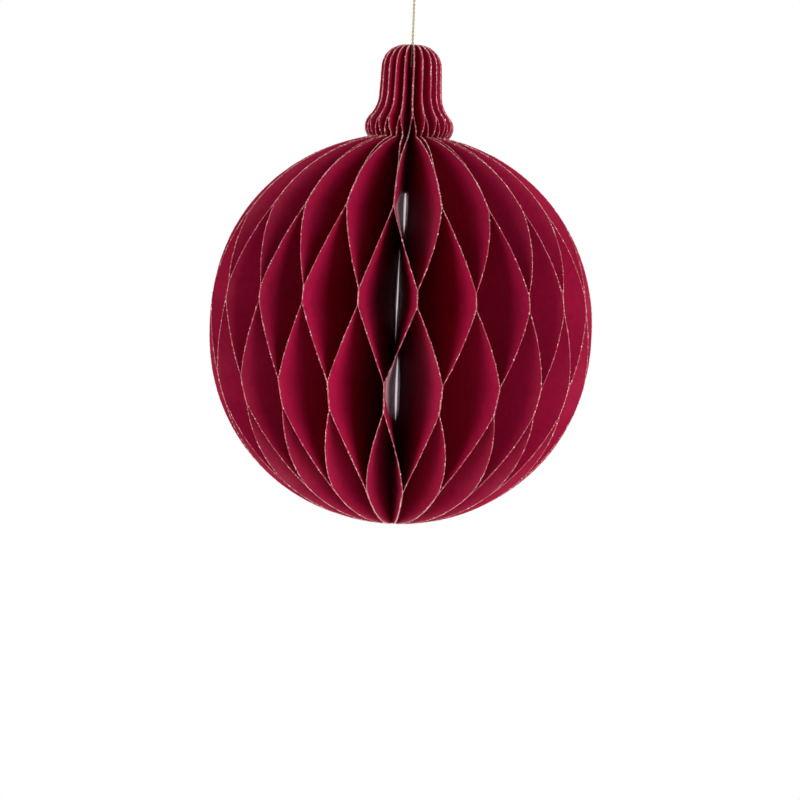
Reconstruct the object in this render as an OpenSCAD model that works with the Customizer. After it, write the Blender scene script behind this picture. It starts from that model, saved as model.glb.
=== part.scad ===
// Honeycomb paper ball: a hanging bauble of paper leaves that fan out around one spine.
// Neighbouring leaves are glued face to face in bands. The bands alternate between one
// neighbour and the other, so each leaf swings from side to side on its way down.
// Millimetres. The origin is the top of the hanging loop and +Z is up. The heights in the
// sections below are given from the ball's middle.

/* [Ball] */
// Diameter of the opened ball
ball_w = 150; // [120:1:200]
// Height of the ball from pole to pole
ball_h = 152.8; // [146:0.2:190]
// Fullness of the ball's outline: 2 is an ellipse, and more stands fuller towards the poles
fullness = 2.14; // [2:0.01:2.5]
// Turn of the first glued pair from the front, in degrees
first_pair_turn = 4.5; // [0:0.5:18]

/* [Leaves] */
// Number of leaves around the spine
leaf_count = 42; // [32:2:48]
// Thickness of the paper
paper_t = 0.2; // [0.1:0.02:0.3]
// Room that the bound edges leave one another around the spine
spine_slack = 0.7; // [0.5:0.1:1]
// Radius of the flat end at the bottom pole
pole_r = 4; // [3.6:0.2:8]

/* [Glued bands] */
// Upper end of the shoulder band
shoulder_band_high = 59.5; // [54:0.5:64]
// Width of the shoulder band
shoulder_band_w = 13; // [6:0.5:20]
// Upper end of the middle band
middle_band_high = 15.5; // [10:0.5:20]
// Width of the middle band
middle_band_w = 6.5; // [4:0.5:12]
// Upper end of the lower band
lower_band_high = -19.5; // [-24:0.5:-14]
// Width of the lower band
lower_band_w = 11; // [5:0.5:14]
// Upper end of the bottom band, which reaches down to the pole
bottom_band_high = -61; // [-64:0.5:-52]
// Spring of the leaves under the rim: 1 parts them evenly, and more parts them sooner
spring = 2.3; // [1:0.1:3.5]

/* [Cap] */
// Diameter of the cap
cap_w = 24.4; // [20:0.2:30]
// Height of the cap's straight side
side_h = 10; // [4:0.2:16]
// How much the side leans in towards its top
side_lean = 0.4; // [0:0.1:1.5]
// Radius of the flat around the cord at the top of the cap
cap_flat_r = 2.8; // [2.8:0.2:6]
// Radius of the hollow curve below the straight side
flare_r = 13.5; // [11:0.5:16]
// Drop of the hollow curve to where it turns into the rim
flare_drop = 9.2; // [7:0.2:10]
// Radius of the rounded rim
rim_r = 5.8; // [5:0.2:6.6]
// Drop from the rim's start to the ball
rim_drop = 8; // [6.6:0.2:8.4]

/* [Spine glue] */
// Gap between the glue and the paper
glue_gap = 0.01; // [0.005:0.005:0.02]
// Distance of the glue's lower end from the bottom pole
glue_inset = 6; // [4:1:20]
// Reach of the glue fillets from the axis
fillet_reach = 6.5; // [5:0.5:9]
// Upper end of the upper fillet
upper_fillet_high = 53; // [50:1:58]
// Length of the upper fillet
upper_fillet_l = 25; // [20:1:28]
// Upper end of the middle fillet
middle_fillet_high = 30; // [27:1:34]
// Length of the middle fillet
middle_fillet_l = 38; // [34:1:40]
// Upper end of the lower fillet
lower_fillet_high = -8; // [-12:1:-6]
// Length of the lower fillet
lower_fillet_l = 31; // [26:1:33]

/* [Hanging cord] */
// Diameter of the cord
cord_w = 1; // [0.8:0.1:1.1]
// Outer diameter of the knot
knot_w = 4.2; // [4:0.1:4.6]
// Bore of the knot, which holds two strands side by side
knot_bore = 2.3; // [2.2:0.1:2.6]
// Number of turns in the knot
knot_turns = 4; // [2:1:5]

/* [Hidden] */
half_pitch = 180 / leaf_count;
// The bound edges stand side by side around the spine, one paper thickness each
spine_r = paper_t / tan(2 * half_pitch) + spine_slack;
front = -90 + first_pair_turn;
ball_r = ball_w / 2;
pole_h = ball_h / 2;

// Largest turn between two rows on the ball, and the rows on each stretch of the cap
ball_step = 8.8;
dome_steps = 3;
flare_steps = 2;
rim_steps = 3;

// Centres and ends of the cap's arcs, as radius from the axis and height from the rim's start
flare_mid = [cap_w / 2 + flare_r, flare_drop];
rim_start = [flare_mid.x - sqrt(flare_r ^ 2 - flare_drop ^ 2), 0];
rim_mid = rim_start + (rim_start - flare_mid) * rim_r / flare_r;
neck_r = rim_mid.x + sqrt(rim_r ^ 2 - (rim_drop + rim_mid.y) ^ 2);
dome_r = cap_w / 2 - side_lean - cap_flat_r;
dome_mid = [cap_flat_r, flare_drop + side_h];
flare_turn = asin(flare_drop / flare_r);
rim_turn = asin((rim_drop + rim_mid.y) / rim_r);

// The rim sits where the ball has the neck's radius
neck_z = height_at(neck_r);
rim_z = neck_z + rim_drop;
cap_top = rim_z + dome_mid.y + dome_r;
pole_z = -height_at(pole_r);

// Glued bands from the top down, as upper end, lower end and side: 0 is the joint with one
// neighbour and 1 the joint with the other
bands = [
    [cap_top, rim_z, 0],
    [shoulder_band_high, shoulder_band_high - shoulder_band_w, 1],
    [middle_band_high, middle_band_high - middle_band_w, 0],
    [lower_band_high, lower_band_high - lower_band_w, 1],
    [bottom_band_high, pole_z, 0]
];
band_ends = [for (band = bands) each [band[0], band[1]]];

// Route of the cord, chosen by hand: out of the cap, up through the knot, once round the
// loop and back into the knot
cord_route = [
    [0, 0, -61], [0, 0, -52], [0, 0, -42], [0, 0, -35], [0.5, 0, -31.4], [0.56, 0, -29], [0.58, 0, -26.4],
    [2, 0, -21.5], [4.2, 0, -15.5], [5.6, 0, -10], [5.5, 0, -5.5], [3.6, 0, -1.6], [0, 0, 0],
    [-3.6, 0, -1.6], [-5.5, 0, -5.5], [-5.6, 0, -10], [-4.2, 0, -15.5], [-2, 0, -21.5], [-0.58, 0, -26.4],
    [-0.56, 0, -29], [-0.56, 0, -30.6]
];
cord_sides = 8;
cord_start_z = cord_route[0].z;
cord_exit_z = cord_route[1].z;
knot_mid_z = -29;
// How far the knot's turns press into one another
turn_press = 1.04;

// Drop from the top of the loop to the ball's middle
hang_drop = cap_top - cord_exit_z;

function leaf_name(i) = str("leaf_", i < 10 ? "0" : "", i);

// Points on an arc, as [radius, height] from the ball's middle, without the first one
function arc(mid, r, from, to, steps) = [
    for (i = [1:steps])
        let (a = from + (to - from) * i / steps)
        [mid.x + r * cos(a), rim_z + mid.y + r * sin(a)]
];

// Height of the ball's outline where it has a radius, and its radius at a share of the pole's height
function height_at(r) = pole_h * (1 - (r / ball_r) ^ 2) ^ (1 / fullness);
function radius_at(share) = ball_r * sqrt(1 - abs(share) ^ fullness);

// Points on the ball between two heights, without the first one
function ball_arc(high, low) =
    let (from = acos(high / pole_h), to = acos(low / pole_h), steps = ceil((to - from) / ball_step))
    [for (i = [1:steps]) let (a = from + (to - from) * i / steps) [radius_at(cos(a)), pole_h * cos(a)]];

// Outline of a leaf from the top of the cap to the bottom pole, with a row at each band's ends
ball_stops = concat([neck_z], [for (i = [2:len(band_ends) - 1]) band_ends[i]]);
outline = concat(
    [[cap_flat_r, cap_top]],
    arc(dome_mid, dome_r, 90, 0, dome_steps),
    [[cap_w / 2, rim_z + flare_drop]],
    arc(flare_mid, flare_r, 180, 180 + flare_turn, flare_steps),
    arc(rim_mid, rim_r, flare_turn, -rim_turn, rim_steps),
    [for (i = [1:len(ball_stops) - 1]) each ball_arc(ball_stops[i - 1], ball_stops[i])]
);

// Side that a leaf is on at a height: 0 and 1 in the bands, and between them on the way. The
// leaves swing straight from band to band, but part fast under the rim.
function swing(z, i = 0) =
    i == len(bands) - 1 || z >= bands[i][1] ? bands[i][2]
    : z > bands[i + 1][0] ?
        let (left = (z - bands[i + 1][0]) / (bands[i][1] - bands[i + 1][0]), keep = i == 0 ? left ^ spring : left)
        bands[i][2] * keep + bands[i + 1][2] * (1 - keep)
    : swing(z, i + 1);

function along(a) = [cos(a), sin(a)];
function across(a) = [-sin(a), cos(a)];

// The four corners of a leaf's section at one height: far face from the spine out, then the
// near face back. A leaf keeps to its own wedge between the two joints.
function glued_section(r, a, far, near) = [
    spine_r * along(a) + far * across(a), r * along(a) + far * across(a),
    r * along(a) + near * across(a), spine_r * along(a) + near * across(a)
];
function section(r, z) =
    let (
        u = swing(z),
        one = glued_section(r, half_pitch, 0, -paper_t),
        other = glued_section(r, -half_pitch, paper_t, 0)
    )
    [for (i = [0:3]) let (p = one[i] * (1 - u) + other[i] * u) [p.x, p.y, z]];

// A closed skin over rings of equally many points, listed from the top down. The two halves
// of a ring are split into triangles as mirror images, so that a thin sheet keeps its thickness.
module skin(rings) {
    n = len(rings[0]);
    last = len(rings) - 1;
    polyhedron(
        points = [for (ring = rings) each ring],
        faces = concat(
            [[for (j = [0:n - 1]) j]],
            [for (i = [0:last - 1], j = [0:n - 1])
                let (a = i * n + j, b = i * n + (j + 1) % n)
                each j < n / 2 ? [[a, a + n, b], [b, a + n, b + n]] : [[a, a + n, b + n], [a, b + n, b]]],
            [[for (j = [0:n - 1]) last * n + n - 1 - j]]
        )
    );
}

module leaf(i) {
    color("#9c0f33")
        translate([0, 0, -hang_drop])
            rotate(front + (2 * i - 3) * half_pitch)
                mirror([0, i % 2 == 0 ? 1 : 0, 0])
                    skin([for (p = outline) section(p[0], p[1])]);
}

// Share of its full width that the gap over a joint has at a height. Near the spine a leaf's
// triangles follow its upper row, so the smaller share of the two heights is the clear one.
function gap_share(z, open) = open == 1 ? swing(z) : 1 - swing(z);
function row_above(z) = min([for (p = outline) if (p.y > z + 0.01) p.y]);

// Half width of the gap between two leaves at a distance from the axis, less the glue's gap
function gap_half(r, z, open) =
    min(gap_share(z, open), gap_share(row_above(z), open))
        * (r * sin(2 * half_pitch) - paper_t * cos(2 * half_pitch)) - glue_gap;

// A fillet of glue in the gap over a joint, where the bands hold the two leaves apart
module fillet(high, long, turn, open) {
    low = high - long;
    root = 0.95 * spine_r;
    tip = 1.2 * spine_r;
    translate([0, 0, -hang_drop])
        rotate(front + turn)
            skin([for (z = concat([high], [for (p = outline) if (p.y < high - 1 && p.y > low + 1) p.y], [low]))
                let (
                    reach = tip + (fillet_reach - tip) * sqrt(sin(180 * (high - z) / long)),
                    h_in = gap_half(root, z, open),
                    h_out = gap_half(reach, z, open)
                )
                [[root, h_in, z], [reach, h_out, z], [reach, -h_out, z], [root, -h_in, z]]]);
}

module spine_glue() {
    low = glue_inset - pole_h - hang_drop;
    color("#d8c8cc") {
        translate([0, 0, low])
            cylinder(h = cord_start_z - low, r = spine_r * cos(half_pitch) - glue_gap, $fn = 32);
        fillet(upper_fillet_high, upper_fillet_l, 0, 1);
        fillet(middle_fillet_high, middle_fillet_l, -2 * half_pitch, 0);
        fillet(lower_fillet_high, lower_fillet_l, 0, 1);
    }
}

// A round section of the cord, square to the way through its neighbours on the route
function cord_ring(i) =
    let (
        to = cord_route[min(i + 1, len(cord_route) - 1)],
        from = cord_route[max(i - 1, 0)],
        way = (to - from) / norm(to - from),
        side = cross([0, 1, 0], way)
    )
    [for (j = [0:cord_sides - 1])
        let (a = 360 * j / cord_sides)
        cord_route[i] + cord_w / 2 * (cos(a) * side + sin(a) * [0, 1, 0])];

module hanging_cord() {
    color("#d9b45a")
        skin([for (i = [0:len(cord_route) - 1]) cord_ring(i)]);
}

// The knot's turns, one on the other around the two strands
module loop_knot() {
    turn_w = (knot_w - knot_bore) / 2;
    color("#d9b45a")
        translate([0, 0, knot_mid_z - turn_w * (knot_turns - 1) / 2])
            for (i = [0:knot_turns - 1])
                translate([0, 0, i * turn_w])
                    rotate_extrude($fn = 24)
                        translate([(knot_bore + turn_w) / 2, 0])
                            circle(d = turn_w * turn_press, $fn = 16);
}

for (i = [1:leaf_count])
    leaf(i);
spine_glue();
hanging_cord();
loop_knot();
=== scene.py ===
import math
import random

import bpy
from mathutils import Matrix, Vector


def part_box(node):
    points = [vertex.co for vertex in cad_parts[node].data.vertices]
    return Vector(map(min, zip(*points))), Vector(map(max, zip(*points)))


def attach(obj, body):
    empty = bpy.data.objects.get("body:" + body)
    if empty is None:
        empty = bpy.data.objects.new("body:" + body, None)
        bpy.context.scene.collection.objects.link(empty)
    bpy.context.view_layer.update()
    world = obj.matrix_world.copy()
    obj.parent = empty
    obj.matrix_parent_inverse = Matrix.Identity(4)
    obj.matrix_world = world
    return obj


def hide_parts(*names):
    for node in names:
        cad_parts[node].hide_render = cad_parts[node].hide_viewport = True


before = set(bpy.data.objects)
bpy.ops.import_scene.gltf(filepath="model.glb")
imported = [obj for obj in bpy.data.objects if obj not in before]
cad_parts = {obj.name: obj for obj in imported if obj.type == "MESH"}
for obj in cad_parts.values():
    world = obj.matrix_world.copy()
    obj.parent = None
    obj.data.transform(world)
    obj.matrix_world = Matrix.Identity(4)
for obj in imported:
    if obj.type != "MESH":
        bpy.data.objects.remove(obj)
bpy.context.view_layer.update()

MM = 0.001
SEED = 12

# The leaves and the outline that they are cut to
LEAVES = sorted(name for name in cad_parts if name.startswith("leaf_"))
LEAF_COUNT = len(LEAVES)
HALF_PITCH = math.pi / LEAF_COUNT
FIRST_PAIR_TURN = 4.5
FRONT = math.radians(-90 + FIRST_PAIR_TURN)
PAPER_T = 0.2 * MM
GLUE_LINE = 0.02 * MM
SPINE_SLACK = 0.7 * MM
SPINE_R = PAPER_T / math.tan(2 * HALF_PITCH) + SPINE_SLACK
BALL_R = 75 * MM
POLE_H = 76.4 * MM
FULLNESS = 2.14
POLE_R = 4 * MM
CAP_R = 12.2 * MM
CAP_FLAT_R = 2.8 * MM
SIDE_H = 10 * MM
SIDE_LEAN = 0.4 * MM
FLARE_R = 13.5 * MM
FLARE_DROP = 9.2 * MM
RIM_R = 5.8 * MM
RIM_DROP = 8 * MM

# Where the leaves are glued to one neighbour or the other, as upper end, lower end and side, and how
# fast they part under the rim
SHOULDER_BAND = (59.5 * MM, 46.5 * MM, 1)
MIDDLE_BAND = (15.5 * MM, 9 * MM, 0)
LOWER_BAND = (-19.5 * MM, -30.5 * MM, 1)
BOTTOM_BAND_HIGH = -61 * MM
SPRING = 2.3

# How the opened fan stands unevenly, as turn from the front, push and reach in degrees, and how far
# the leaves and the spine stray besides, as handmade folds do. EDGE_BOW holds the first and the last
# leaf whose cut edges bow to the right, and how far they do.
PUSHES = ((36, 1.5, 10), (66, -1.3, 7), (-48, 1.0, 8))
JOINT_STRAY = math.radians(0.15)
LEAF_BOW = 0.4 * MM
EDGE_BOW = (2, 9, 0.6 * MM)
SPINE_BEND = -1.5 * MM

# How finely the leaves are drawn, and the turns above which an edge looks sharp
BALL_STEP = math.radians(1.9)
LEAF_COLUMNS = 8
LEAF_CREASE = math.radians(50)
GLUE_CREASE = math.radians(40)

# Glitter on the cut edges, each flake a small octahedron
GRAIN_CORNERS = ((1, 0, 0), (0, 1, 0), (-1, 0, 0), (0, -1, 0), (0, 0, 0.55), (0, 0, -0.55))
GRAIN_FACES = (
    (0, 1, 4), (1, 2, 4), (2, 3, 4), (3, 0, 4),
    (1, 0, 5), (2, 1, 5), (3, 2, 5), (0, 3, 5),
)
GRAIN_UNEVEN = (0.8, 1.2)
GRAIN_STEP = 0.34 * MM
STEP_UNEVEN = (0.7, 1.3)
GRAIN_PROUD = (-0.2, 0.6)
GRAIN_R = (0.12 * MM, 0.20 * MM)
BEAD_R = (0.20 * MM, 0.29 * MM)
BEAD_SHARE = 0.24
GRAIN_SPREAD = 0.08 * MM
FINE_COLOURS = ((0.36, 0.09, 0.10, 1), (0.50, 0.18, 0.18, 1), (0.62, 0.32, 0.28, 1))
BEAD_COLOURS = ((0.66, 0.40, 0.35, 1), (0.78, 0.53, 0.46, 1), (0.90, 0.70, 0.60, 1))

# Beads of glue in the gap over a joint near the spine, as joint, upper end, lower end and reach
GLUE_BEADS = (
    (1, 54 * MM, 30 * MM, 7 * MM),
    (0, 33 * MM, -10 * MM, 4.5 * MM),
    (1, -5 * MM, -40 * MM, 7 * MM),
)
GLUE_ROOT_R = SPINE_R * 1.1
GLUE_ENDS = (0.01, 0.99)
GLUE_TAPER = 0.3
GLUE_SWELL = (0.03, 9)
GLUE_RIPPLE = (0.01, 19)
GLUE_SAG = 0.02
GLUE_ROWS = 40

# Films of glue on the walls, whose pale colour paints a sheen over the paper, as leaf, upper end, lower
# end, and reach at the upper and the lower end
SHEEN_GLUE_FILMS = (
    (1, 58 * MM, 30 * MM, 34 * MM, 52 * MM),
    (1, -4 * MM, -40 * MM, 66 * MM, 10 * MM),
)
FILM_INSET = 2.5 * MM
FILM_START = 0.1
FILM_SLOPE = 2.2
FILM_FACES = (PAPER_T / 2 + 0.03 * MM, PAPER_T / 2 + 0.09 * MM)

# The glue that fills the spine, from below the cap's top to the bottom pole
CORE_SINK = 9 * MM
CORE_POLE_GAP = 0.1 * MM
CORE_GAP = 0.01 * MM
CORE_ROWS = 60
CORE_SIDES = 24

# The twisted cord, its route as the model has it, and its knot
CORD_W = 1.0 * MM
CORD_ROUTE = [
    (0, 0, -61), (0, 0, -52), (0, 0, -42), (0, 0, -35), (0.5, 0, -31.4), (0.56, 0, -29), (0.58, 0, -26.4),
    (2, 0, -21.5), (4.2, 0, -15.5), (5.6, 0, -10), (5.5, 0, -5.5), (3.6, 0, -1.6), (0, 0, 0),
    (-3.6, 0, -1.6), (-5.5, 0, -5.5), (-5.6, 0, -10), (-4.2, 0, -15.5), (-2, 0, -21.5), (-0.58, 0, -26.4),
    (-0.56, 0, -29), (-0.56, 0, -30.6),
]
CORD_STEP = 0.12 * MM
TWIST_PITCH = 3.0 * MM
PLY_R_SHARE = 0.22
PLY_LAY_SHARE = 0.28
PLY_SIDES = 10
KNOT_MID_Z = -29 * MM
KNOT_R = 1.6 * MM
KNOT_TURNS = 4
KNOT_RISE = 0.95 * MM
KNOT_STEPS = 80
KNOT_THREAD_W = 0.95 * MM

# The camera, from the photograph
CAMERA_DISTANCE = 1.269
CAMERA_ELEVATION = math.radians(0.8)
CAMERA_ROLL = math.radians(2.4)
PIXELS_PER_METRE = 2549
PHOTO_SIZE = 800
BALL_MIDDLE_PX = (400.6, 328.9)

# The studio. The lamps are given as name, turn to the right of the front, height and power.
FLOOR_Z = -0.54
FLOOR_R = 0.6
FLOOR_SIDES = 96
FLOOR_FADE = (0.45, 0.98)
AMBIENT = 0.02
LAMP_DISTANCE = 1.3
LAMP_W = 0.9
LAMPS = (
    ("key_right", 40, 1.4, 24),
    ("fill_left", -48, 1.4, 18),
    ("back_right", 120, 1.2, 24),
    ("back_left", -126, 1.2, 24),
)


def height_at(radius):
    """Height above the ball's middle at which its outline has a radius."""
    return POLE_H * (1 - (radius / BALL_R) ** 2) ** (1 / FULLNESS)


def radius_at(share):
    """Radius of the ball's outline at a share of the pole's height."""
    return BALL_R * math.sqrt(1 - abs(share) ** FULLNESS)


# Height of the ball's middle, from the bottom pole of the frame's own leaves
MIDDLE_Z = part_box(LEAVES[0])[0].z + height_at(POLE_R)


def arc(mid, radius, start, end, steps):
    """Points on an arc in the leaf's plane, as distance from the axis and height, without the first."""
    turns = [start + (end - start) * k / steps for k in range(1, steps + 1)]
    return [(mid[0] + radius * math.cos(a), mid[1] + radius * math.sin(a)) for a in turns]


def ball_arc(high, low):
    """Points on the ball between two heights, without the first."""
    start = math.acos(high / POLE_H)
    end = math.acos(low / POLE_H)
    steps = math.ceil((end - start) / BALL_STEP)
    turns = [start + (end - start) * k / steps for k in range(1, steps + 1)]
    return [(radius_at(math.cos(a)), POLE_H * math.cos(a)) for a in turns]


def leaf_outline():
    """Outline of a leaf from the top of the cap to the bottom pole, with the heights from the ball's
    middle, and the glued bands that go with it."""
    flare_x = CAP_R + FLARE_R
    rim_start_x = flare_x - math.sqrt(FLARE_R ** 2 - FLARE_DROP ** 2)
    rim_x = rim_start_x + (rim_start_x - flare_x) * RIM_R / FLARE_R
    rim_sink = -FLARE_DROP * RIM_R / FLARE_R
    neck_r = rim_x + math.sqrt(RIM_R ** 2 - (RIM_DROP + rim_sink) ** 2)
    neck_z = height_at(neck_r)
    rim_z = neck_z + RIM_DROP
    dome_r = CAP_R - SIDE_LEAN - CAP_FLAT_R
    dome_z = rim_z + FLARE_DROP + SIDE_H
    flare_turn = math.asin(FLARE_DROP / FLARE_R)
    rim_turn = math.asin((RIM_DROP + rim_sink) / RIM_R)
    pole_z = -height_at(POLE_R)
    bands = [
        (dome_z + dome_r, rim_z, 0),
        SHOULDER_BAND,
        MIDDLE_BAND,
        LOWER_BAND,
        (BOTTOM_BAND_HIGH, pole_z, 0),
    ]
    points = [(SPINE_R, dome_z + dome_r), (CAP_FLAT_R, dome_z + dome_r)]
    points += arc((CAP_FLAT_R, dome_z), dome_r, math.pi / 2, 0, 10)
    points += [(CAP_R - SIDE_LEAN * (1 - k / 4), dome_z - SIDE_H * k / 4) for k in range(1, 5)]
    points += arc((flare_x, rim_z + FLARE_DROP), FLARE_R, math.pi, math.pi + flare_turn, 8)
    points += arc((rim_x, rim_z + rim_sink), RIM_R, flare_turn, -rim_turn, 12)
    stops = [neck_z] + [z for band in bands[1:] for z in band[:2]]
    for high, low in zip(stops, stops[1:]):
        points += ball_arc(high, low)
    return points, bands


OUTLINE, BANDS = leaf_outline()


def swing(z):
    """Side that a leaf is on at a height: 0 and 1 in the bands, and between them on the way. The
    leaves swing straight from band to band, but part fast under the rim."""
    for band, below in zip(BANDS, BANDS[1:]):
        if z >= band[1]:
            return band[2]
        if z > below[0]:
            keep = (z - below[0]) / (band[1] - below[0])
            if band is BANDS[0]:
                keep **= SPRING
            return band[2] * keep + below[2] * (1 - keep)
    return BANDS[-1][2]


def joint_strays():
    """For each joint between two leaves, the waves by which its plane strays from the even fan."""
    draw = random.Random(SEED)
    return [
        [(draw.uniform(0.3, 1), draw.uniform(18, 45), draw.uniform(0, 2 * math.pi)) for _ in range(3)]
        for _ in range(LEAF_COUNT)
    ]


STRAYS = joint_strays()


def joint_turn(joint, z):
    """Turn of the plane between leaf number joint and the next, at a height."""
    waves = STRAYS[joint % LEAF_COUNT]
    sway = sum(share * math.sin(rate * z + phase) for share, rate, phase in waves)
    stray = JOINT_STRAY * sway / len(waves)
    turn = FRONT + (2 * joint - 2) * HALF_PITCH
    for middle, push, reach in PUSHES:
        away = (math.degrees(turn) + 90 - middle + 180) % 360 - 180
        stray += math.radians(push) * math.exp(-((away / reach) ** 2))
    return turn + stray


def leaf_bows():
    """How far each leaf bows sideways where it swings free."""
    draw = random.Random(SEED + 1)
    return [draw.uniform(-1, 1) * LEAF_BOW for _ in range(LEAF_COUNT)]


BOWS = leaf_bows()


def leaf_place(number, z):
    """A function that gives points of one leaf at a height, from a distance along it and an offset
    across it. The leaf lies beside the plane that it is glued at, or swings between two of them."""
    bow = BOWS[number % LEAF_COUNT]
    edge_bow = EDGE_BOW[2] if EDGE_BOW[0] <= number <= EDGE_BOW[1] else 0
    odd = number % 2 == 1
    glued = joint_turn(number if odd else number - 1, z)
    other = joint_turn(number - 1 if odd else number, z)
    side = 1 if odd else -1
    rest = side * (PAPER_T + GLUE_LINE) / 2
    share = swing(z)
    free = 4 * share * (1 - share)

    def place(radius, across):
        reach = min(1, radius / BALL_R)
        bend = free * (bow * math.sin(math.pi * reach) + edge_bow * reach)
        ends = ((glued, 1 - share, across + bend - rest), (other, share, across + bend + rest))
        x = sum(w * (radius * math.cos(a) - off * math.sin(a)) for a, w, off in ends)
        x += SPINE_BEND * max(0, 1 - radius / BALL_R) * max(0, 1 - (z / POLE_H) ** 2)
        y = sum(w * (radius * math.sin(a) + off * math.cos(a)) for a, w, off in ends)
        return Vector((x, y, MIDDLE_Z + z))

    return place


def skin_faces(ring_count, ring_size):
    """Faces of a closed skin over rings of equally many points."""
    faces = [tuple(range(ring_size))]
    for i in range(ring_count - 1):
        for j in range(ring_size):
            a = i * ring_size + j
            b = i * ring_size + (j + 1) % ring_size
            faces.append((a, a + ring_size, b + ring_size, b))
    last = (ring_count - 1) * ring_size
    faces.append(tuple(range(last + ring_size - 1, last - 1, -1)))
    return faces


def leaf_skin(number, rows, near, far):
    """Points and faces of a sheet along one leaf, out along one face and back along the other. The
    rows give how far it goes from the axis at each height."""
    points = []
    for radius, z in rows:
        place = leaf_place(number, z)
        out = [SPINE_R + (radius - SPINE_R) * k / LEAF_COLUMNS for k in range(LEAF_COLUMNS + 1)]
        points += [place(r, far) for r in out]
        points += [place(r, near) for r in reversed(out)]
    return points, skin_faces(len(rows), 2 * (LEAF_COLUMNS + 1))


def grain(draw, middle, radius):
    """Points of one glitter flake, uneven and turned at random."""
    angle = draw.uniform(0, math.pi)
    axis = Vector([draw.uniform(-1, 1) for _ in range(3)]).normalized()
    turn = Matrix.Rotation(angle, 3, axis)
    return [middle + turn @ (Vector(c) * radius * draw.uniform(*GRAIN_UNEVEN)) for c in GRAIN_CORNERS]


def glitter_skin(draw, number):
    """Points and faces of the glitter on one leaf's cut edge, and whether each face is on a bead, one
    of the coarse bright flakes among the fine ones."""
    points = []
    faces = []
    on_bead = []
    left = 0.0
    for (r0, z0), (r1, z1) in zip(OUTLINE, OUTLINE[1:]):
        length = math.hypot(r1 - r0, z1 - z0)
        out = ((z0 - z1) / length, (r1 - r0) / length)
        while left < length:
            share = left / length
            bead = draw.random() < BEAD_SHARE
            proud = draw.uniform(*GRAIN_PROUD) * GRAIN_R[0]
            radius = r0 + (r1 - r0) * share + out[0] * proud
            z = z0 + (z1 - z0) * share + out[1] * proud
            middle = leaf_place(number, z)(radius, draw.gauss(0, 1) * GRAIN_SPREAD)
            first = len(points)
            points += grain(draw, middle, draw.uniform(*(BEAD_R if bead else GRAIN_R)))
            faces += [tuple(first + k for k in face) for face in GRAIN_FACES]
            on_bead += [bead] * len(GRAIN_FACES)
            left += GRAIN_STEP * draw.uniform(*STEP_UNEVEN)
        left -= length
    return points, faces, on_bead


def new_mesh(name, points, faces, materials):
    mesh = bpy.data.meshes.new(name)
    mesh.from_pydata(points, [], faces)
    for material in materials:
        mesh.materials.append(material)
    mesh.update()
    piece = bpy.data.objects.new(name, mesh)
    bpy.context.scene.collection.objects.link(piece)
    return piece


def leaf(name, paper, glitter, beads):
    """One paper leaf with the glitter on its cut edge."""
    number = int(name.split("_")[1])
    draw = random.Random(SEED * 1000 + number)
    points, faces = leaf_skin(number, OUTLINE[1:], -PAPER_T / 2, PAPER_T / 2)
    grain_points, grain_faces, on_bead = glitter_skin(draw, number)
    first = len(points)
    all_faces = faces + [tuple(first + k for k in face) for face in grain_faces]
    piece = new_mesh(f"paper_{name}", points + grain_points, all_faces, [paper, glitter, beads])
    piece.data.polygons.foreach_set("use_smooth", [True] * len(faces) + [False] * len(grain_faces))
    piece.data.polygons.foreach_set("material_index", [0] * len(faces) + [1 + bead for bead in on_bead])
    piece.data.set_sharp_from_angle(angle=LEAF_CREASE)
    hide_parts(name)
    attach(piece, "root")


def glue_bead(joint, high, low, reach):
    """Points and faces of a bead of glue that fills the gap over a joint near the spine. Its face
    looks straight to the front."""
    draw = random.Random(SEED + 7 * joint + round(high / MM))
    phases = [draw.uniform(0, 2 * math.pi) for _ in range(2)]
    left = joint if joint else LEAF_COUNT
    across = 8
    points = []
    for i in range(GLUE_ROWS + 1):
        u = i / GLUE_ROWS
        z = high + (low - high) * u
        swell = 1 + GLUE_SWELL[0] * math.sin(GLUE_SWELL[1] * u + phases[0])
        swell += GLUE_RIPPLE[0] * math.sin(GLUE_RIPPLE[1] * u + phases[1])
        share = GLUE_ENDS[0] + (GLUE_ENDS[1] - GLUE_ENDS[0]) * u
        taper = math.sin(math.pi * share) ** GLUE_TAPER
        tip = GLUE_ROOT_R + (reach * swell - GLUE_ROOT_R) * taper
        walls = [leaf_place(left, z), leaf_place(left + 1, z)]
        roots = [walls[0](SPINE_R, PAPER_T / 2), walls[1](SPINE_R, -PAPER_T / 2)]
        tips = [walls[0](tip, PAPER_T / 2), walls[1](tip, -PAPER_T / 2)]
        tips = [root + (front - root) * (tip / (root.y - front.y)) for root, front in zip(roots, tips)]
        points.append(roots[0])
        for k in range(across + 1):
            t = k / across
            sag = GLUE_SAG * math.sin(math.pi * t)
            front = tips[0] * (1 - t) + tips[1] * t
            root = roots[0] * (1 - t) + roots[1] * t
            points.append(front * (1 - sag) + root * sag)
        points.append(roots[1])
    return points, skin_faces(GLUE_ROWS + 1, across + 3)


def glue_film_painted_sheen(number, high, low, reach_high, reach_low):
    """Points and faces of a thin smear of glue on the side of a leaf, a pale sheet whose colour is
    painted sheen.
    """
    rows = []
    for i in range(GLUE_ROWS + 1):
        u = i / GLUE_ROWS
        z = high + (low - high) * u
        reach = min(radius_at(z / POLE_H) - FILM_INSET, max(reach_high, reach_low))
        rise = u if reach_high < reach_low else 1 - u
        rows.append((SPINE_R + (reach - SPINE_R) * min(1, FILM_SLOPE * rise + FILM_START), z))
    return leaf_skin(number, rows, *FILM_FACES)


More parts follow.
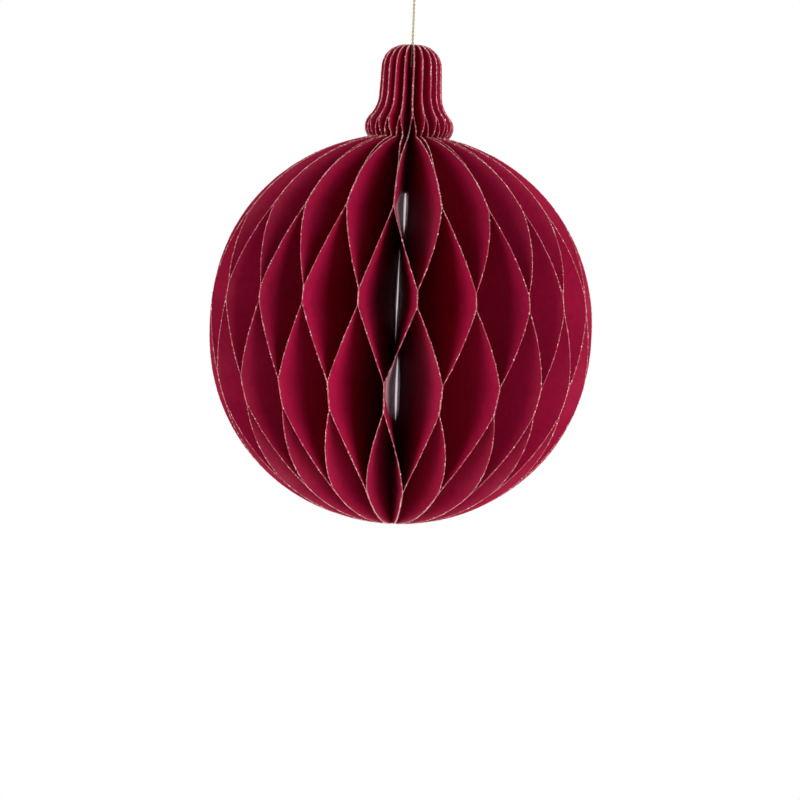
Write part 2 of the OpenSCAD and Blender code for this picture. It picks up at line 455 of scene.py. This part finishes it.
def spine_core():
    """Points and faces of the glue that holds the bound edges, which bends with them."""
    high = OUTLINE[0][1] - CORE_SINK
    low = OUTLINE[-1][1] + CORE_POLE_GAP
    radius = SPINE_R * math.cos(HALF_PITCH) - CORE_GAP
    turns = [2 * math.pi * k / CORE_SIDES for k in range(CORE_SIDES)]
    ring = [Vector((radius * math.cos(a), radius * math.sin(a), 0)) for a in turns]
    points = []
    for i in range(CORE_ROWS + 1):
        z = high + (low - high) * i / CORE_ROWS
        bend = SPINE_BEND * max(0, 1 - (z / POLE_H) ** 2) * (1 - SPINE_R / BALL_R)
        middle = Vector((bend, 0, MIDDLE_Z + z))
        points += [middle + corner for corner in ring]
    return points, skin_faces(CORE_ROWS + 1, CORE_SIDES)


def spine_glue(clear, sheen_film, soaked):
    """The glue in the gaps, on the walls and inside the spine, as one piece. The pale colour of the glue
    on the walls is painted sheen.
    """
    points = []
    faces = []
    slots = []
    parts = [(glue_bead(*bead), 0) for bead in GLUE_BEADS]
    parts += [(glue_film_painted_sheen(*sheet), 1) for sheet in SHEEN_GLUE_FILMS]
    parts.append((spine_core(), 2))
    for (some_points, some_faces), slot in parts:
        first = len(points)
        points += some_points
        faces += [tuple(first + k for k in face) for face in some_faces]
        slots += [slot] * len(some_faces)
    piece = new_mesh("clear_glue_and_sheen_films", points, faces, [clear, sheen_film, soaked])
    piece.data.polygons.foreach_set("material_index", slots)
    piece.data.polygons.foreach_set("use_smooth", [len(face) == 4 for face in faces])
    piece.data.set_sharp_from_angle(angle=GLUE_CREASE)
    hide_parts("spine_glue")
    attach(piece, "root")


def smooth_line(points, step):
    """Points about a step apart on a smooth curve through the given ones."""
    ends = [points[0] * 2 - points[1], *points, points[-1] * 2 - points[-2]]
    line = []
    for p0, p1, p2, p3 in zip(ends, ends[1:], ends[2:], ends[3:]):
        count = max(1, round((p2 - p1).length / step))
        for k in range(count):
            t = k / count
            line.append(
                (p1 * 2 + (p2 - p0) * t + (p0 * 2 - p1 * 5 + p2 * 4 - p3) * t ** 2
                 + (p1 * 3 - p0 - p2 * 3 + p3) * t ** 3) / 2
            )
    line.append(points[-1])
    return line


def twisted(name, line, width, threads):
    """Two plies, each with its own material, twisted round one another along a line."""
    ply_r = width * PLY_R_SHARE
    lay_r = width * PLY_LAY_SHARE
    points = []
    faces = []
    for ply in range(2):
        rings = []
        normal = Vector((0, 1, 0))
        run = 0.0
        for i, middle in enumerate(line):
            way = (line[min(i + 1, len(line) - 1)] - line[max(i - 1, 0)]).normalized()
            normal = (normal - way * normal.dot(way)).normalized()
            side = way.cross(normal)
            if i:
                run += (middle - line[i - 1]).length
            turn = 2 * math.pi * run / TWIST_PITCH + math.pi * ply
            centre = middle + (normal * math.cos(turn) + side * math.sin(turn)) * lay_r
            rings.append([
                centre + (normal * math.cos(a) + side * math.sin(a)) * ply_r
                for a in (turn + 2 * math.pi * k / PLY_SIDES for k in range(PLY_SIDES))
            ])
        first = len(points)
        points += [p for ring in rings for p in ring]
        skin = skin_faces(len(rings), PLY_SIDES)
        faces += [tuple(first + k for k in reversed(face)) for face in skin]
    piece = new_mesh(name, points, faces, threads)
    half = len(faces) // 2
    piece.data.polygons.foreach_set("use_smooth", [len(face) == 4 for face in faces])
    piece.data.polygons.foreach_set("material_index", [0] * half + [1] * half)
    return piece


def make_camera():
    """The photograph's camera, a little above the ball's middle and rolled so that the ball leans."""
    middle = Vector((0, 0, MIDDLE_Z))
    back = Vector((0, -math.cos(CAMERA_ELEVATION), math.sin(CAMERA_ELEVATION)))
    level_up = Vector((0, math.sin(CAMERA_ELEVATION), math.cos(CAMERA_ELEVATION)))
    up = level_up * math.cos(CAMERA_ROLL) - Vector((math.sin(CAMERA_ROLL), 0, 0))
    right = up.cross(back)
    place = middle + back * CAMERA_DISTANCE
    aim_right = (PHOTO_SIZE / 2 - BALL_MIDDLE_PX[0]) / PIXELS_PER_METRE
    aim_up = (BALL_MIDDLE_PX[1] - PHOTO_SIZE / 2) / PIXELS_PER_METRE
    aim = middle + right * aim_right + up * aim_up
    back = (place - aim).normalized()
    right = up.cross(back).normalized()
    up = back.cross(right)
    data = bpy.data.cameras.new("camera")
    data.sensor_width = 36
    data.lens = data.sensor_width * PIXELS_PER_METRE * CAMERA_DISTANCE / PHOTO_SIZE
    camera = bpy.data.objects.new("camera", data)
    camera.matrix_world = Matrix((right, up, back)).transposed().to_4x4()
    camera.location = place
    bpy.context.scene.collection.objects.link(camera)
    bpy.context.scene.camera = camera


def new_material(name):
    material = bpy.data.materials.new(name)
    material.use_nodes = True
    nodes = material.node_tree.nodes
    return material, nodes, material.node_tree.links, nodes["Principled BSDF"]


def noise(nodes, links, scale, detail):
    """Output of a noise that lies still on the object."""
    place = nodes.new("ShaderNodeTexCoord")
    texture = nodes.new("ShaderNodeTexNoise")
    texture.inputs["Scale"].default_value = scale
    texture.inputs["Detail"].default_value = detail
    links.new(place.outputs["Object"], texture.inputs["Vector"])
    return texture.outputs["Fac"]


def mottle(nodes, links, shader, pattern, dark, pale):
    """Gives a material a colour that wanders between two."""
    colour = nodes.new("ShaderNodeMix")
    colour.data_type = "RGBA"
    colour.inputs["A"].default_value = dark
    colour.inputs["B"].default_value = pale
    links.new(pattern, colour.inputs["Factor"])
    links.new(colour.outputs["Result"], shader.inputs["Base Color"])


def roughen(nodes, links, shader, pattern, strength, distance):
    """Gives a material a bump."""
    bump = nodes.new("ShaderNodeBump")
    bump.inputs["Strength"].default_value = strength
    bump.inputs["Distance"].default_value = distance
    links.new(pattern, bump.inputs["Height"])
    links.new(bump.outputs["Normal"], shader.inputs["Normal"])


def paper_material():
    material, nodes, links, shader = new_material("crimson_paper")
    clouds = noise(nodes, links, 420, 6)
    fibre = noise(nodes, links, 2200, 3)
    mottle(nodes, links, shader, clouds, (0.25, 0.0025, 0.030, 1), (0.41, 0.006, 0.056, 1))
    roughen(nodes, links, shader, fibre, 0.25, 0.04 * MM)
    shader.inputs["Roughness"].default_value = 0.5
    shader.inputs["Specular IOR Level"].default_value = 0.22
    return material


def glitter_material(name, colours):
    """Flakes that each have one of three colours."""
    material, nodes, links, shader = new_material(name)
    island = nodes.new("ShaderNodeNewGeometry")
    ramp = nodes.new("ShaderNodeValToRGB")
    ramp.color_ramp.interpolation = "CONSTANT"
    stops = ramp.color_ramp.elements
    stops[0].color = colours[0]
    stops[1].position = 0.35
    stops[1].color = colours[1]
    stops.new(0.7).color = colours[2]
    links.new(island.outputs["Random Per Island"], ramp.inputs["Fac"])
    links.new(ramp.outputs["Color"], shader.inputs["Base Color"])
    shader.inputs["Metallic"].default_value = 0.15
    shader.inputs["Roughness"].default_value = 0.4
    return material


def thread_material(name, dark, pale):
    material, nodes, links, shader = new_material(name)
    mottle(nodes, links, shader, noise(nodes, links, 4000, 2), dark, pale)
    shader.inputs["Metallic"].default_value = 0.3
    shader.inputs["Roughness"].default_value = 0.45
    return material


def glue_material():
    """Clear glue that shows as pale glossy reflections, as in the photo."""
    material, nodes, links, shader = new_material("glossy_glue")
    roughen(nodes, links, shader, noise(nodes, links, 500, 2), 0.05, 0.1 * MM)
    shader.inputs["Base Color"].default_value = (0.74, 0.64, 0.71, 1)
    shader.inputs["Metallic"].default_value = 0.9
    shader.inputs["Roughness"].default_value = 0.12
    return material


# A pale, partly clear sheet for the glue on the walls, whose colour is painted sheen over the paper
def sheen_film_material():
    material, _, _, shader = new_material("glue_film_painted_sheen")
    shader.inputs["Base Color"].default_value = (0.80, 0.70, 0.75, 1)
    shader.inputs["Roughness"].default_value = 0.3
    shader.inputs["Alpha"].default_value = 0.35
    return material


def hanging_cord(threads):
    """The cord and the wrapped knot that closes its loop."""
    line = smooth_line([Vector(p) * MM for p in CORD_ROUTE], CORD_STEP)
    cord = twisted("twisted_cord", line, CORD_W, threads)
    turns = [2 * math.pi * k / KNOT_STEPS for k in range(KNOT_TURNS * KNOT_STEPS + 1)]
    low = KNOT_MID_Z - KNOT_RISE * (KNOT_TURNS - 1) / 2
    wraps = [
        Vector((KNOT_R * math.cos(a), KNOT_R * math.sin(a), low + KNOT_RISE * (a / (2 * math.pi) - 0.5)))
        for a in turns
    ]
    knot = twisted("wrapped_knot", wraps, KNOT_THREAD_W, threads)
    for piece, node in ((cord, "hanging_cord"), (knot, "loop_knot")):
        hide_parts(node)
        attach(piece, "root")


def area_lamp(name, azimuth, height, power):
    """A soft lamp that faces the ball's middle, level with it."""
    turn = math.radians(azimuth)
    back = Vector((math.sin(turn), -math.cos(turn), 0))
    data = bpy.data.lights.new(name, "AREA")
    data.shape = "RECTANGLE"
    data.size = LAMP_W
    data.size_y = height
    data.energy = power
    lamp = bpy.data.objects.new(name, data)
    lamp.location = Vector((0, 0, MIDDLE_Z)) + back * LAMP_DISTANCE
    lamp.rotation_mode = "QUATERNION"
    lamp.rotation_quaternion = back.to_track_quat("Z", "Y")
    lamp.visible_camera = False
    bpy.context.scene.collection.objects.link(lamp)


def make_world():
    """White for the camera, in reflections and through clear things, and a low even light on the
    rest."""
    world = bpy.data.worlds.new("studio")
    world.use_nodes = True
    bpy.context.scene.world = world
    nodes = world.node_tree.nodes
    links = world.node_tree.links
    path = nodes.new("ShaderNodeLightPath")
    strength = nodes.new("ShaderNodeMapRange")
    strength.inputs["To Min"].default_value = AMBIENT
    strength.inputs["To Max"].default_value = 1.0
    white = path.outputs["Is Camera Ray"]
    for kind in ("Is Glossy Ray", "Is Transmission Ray"):
        either = nodes.new("ShaderNodeMath")
        either.operation = "MAXIMUM"
        links.new(white, either.inputs[0])
        links.new(path.outputs[kind], either.inputs[1])
        white = either.outputs[0]
    links.new(white, strength.inputs["Value"])
    background = nodes["Background"]
    background.inputs["Color"].default_value = (1, 1, 1, 1)
    links.new(strength.outputs["Result"], background.inputs["Strength"])


def make_floor():
    """A pale floor below the ball that fades into the white around it and is clear from below."""
    turns = [2 * math.pi * k / FLOOR_SIDES for k in range(FLOOR_SIDES)]
    points = [(FLOOR_R * math.cos(a), FLOOR_R * math.sin(a), FLOOR_Z) for a in turns]
    material, nodes, links, shader = new_material("pale_floor")
    shader.inputs["Base Color"].default_value = (0.9, 0.9, 0.9, 1)
    shader.inputs["Roughness"].default_value = 0.9
    place = nodes.new("ShaderNodeTexCoord")
    reach = nodes.new("ShaderNodeVectorMath")
    reach.operation = "MULTIPLY"
    reach.inputs[1].default_value = (1, 1, 0)
    length = nodes.new("ShaderNodeVectorMath")
    length.operation = "LENGTH"
    fade = nodes.new("ShaderNodeMapRange")
    fade.interpolation_type = "SMOOTHSTEP"
    fade.inputs["From Min"].default_value = FLOOR_R * FLOOR_FADE[0]
    fade.inputs["From Max"].default_value = FLOOR_R * FLOOR_FADE[1]
    fade.inputs["To Min"].default_value = 1.0
    fade.inputs["To Max"].default_value = 0.0
    links.new(place.outputs["Object"], reach.inputs[0])
    links.new(reach.outputs["Vector"], length.inputs[0])
    links.new(length.outputs["Value"], fade.inputs["Value"])
    side = nodes.new("ShaderNodeNewGeometry")
    above = nodes.new("ShaderNodeMath")
    above.operation = "SUBTRACT"
    above.inputs[0].default_value = 1.0
    alpha = nodes.new("ShaderNodeMath")
    alpha.operation = "MULTIPLY"
    links.new(side.outputs["Backfacing"], above.inputs[1])
    links.new(fade.outputs["Result"], alpha.inputs[0])
    links.new(above.outputs["Value"], alpha.inputs[1])
    links.new(alpha.outputs["Value"], shader.inputs["Alpha"])
    floor = new_mesh("floor", points, [tuple(range(FLOOR_SIDES))], [material])


make_camera()
hanging_cord([
    thread_material("gold_thread", (0.18, 0.14, 0.055, 1), (0.54, 0.46, 0.21, 1)),
    thread_material("dark_gold_thread", (0.13, 0.10, 0.04, 1), (0.38, 0.32, 0.14, 1)),
])

paper = paper_material()
glitter = glitter_material("fine_glitter", FINE_COLOURS)
beads = glitter_material("coarse_glitter", BEAD_COLOURS)
for name in LEAVES:
    leaf(name, paper, glitter, beads)

# The glue on the walls is pale, a painted sheen over the paper
spine_glue(glue_material(), sheen_film_material(), paper)

make_world()
make_floor()
for lamp in LAMPS:
    area_lamp(*lamp)

bpy.context.scene.view_settings.view_transform = "Standard"
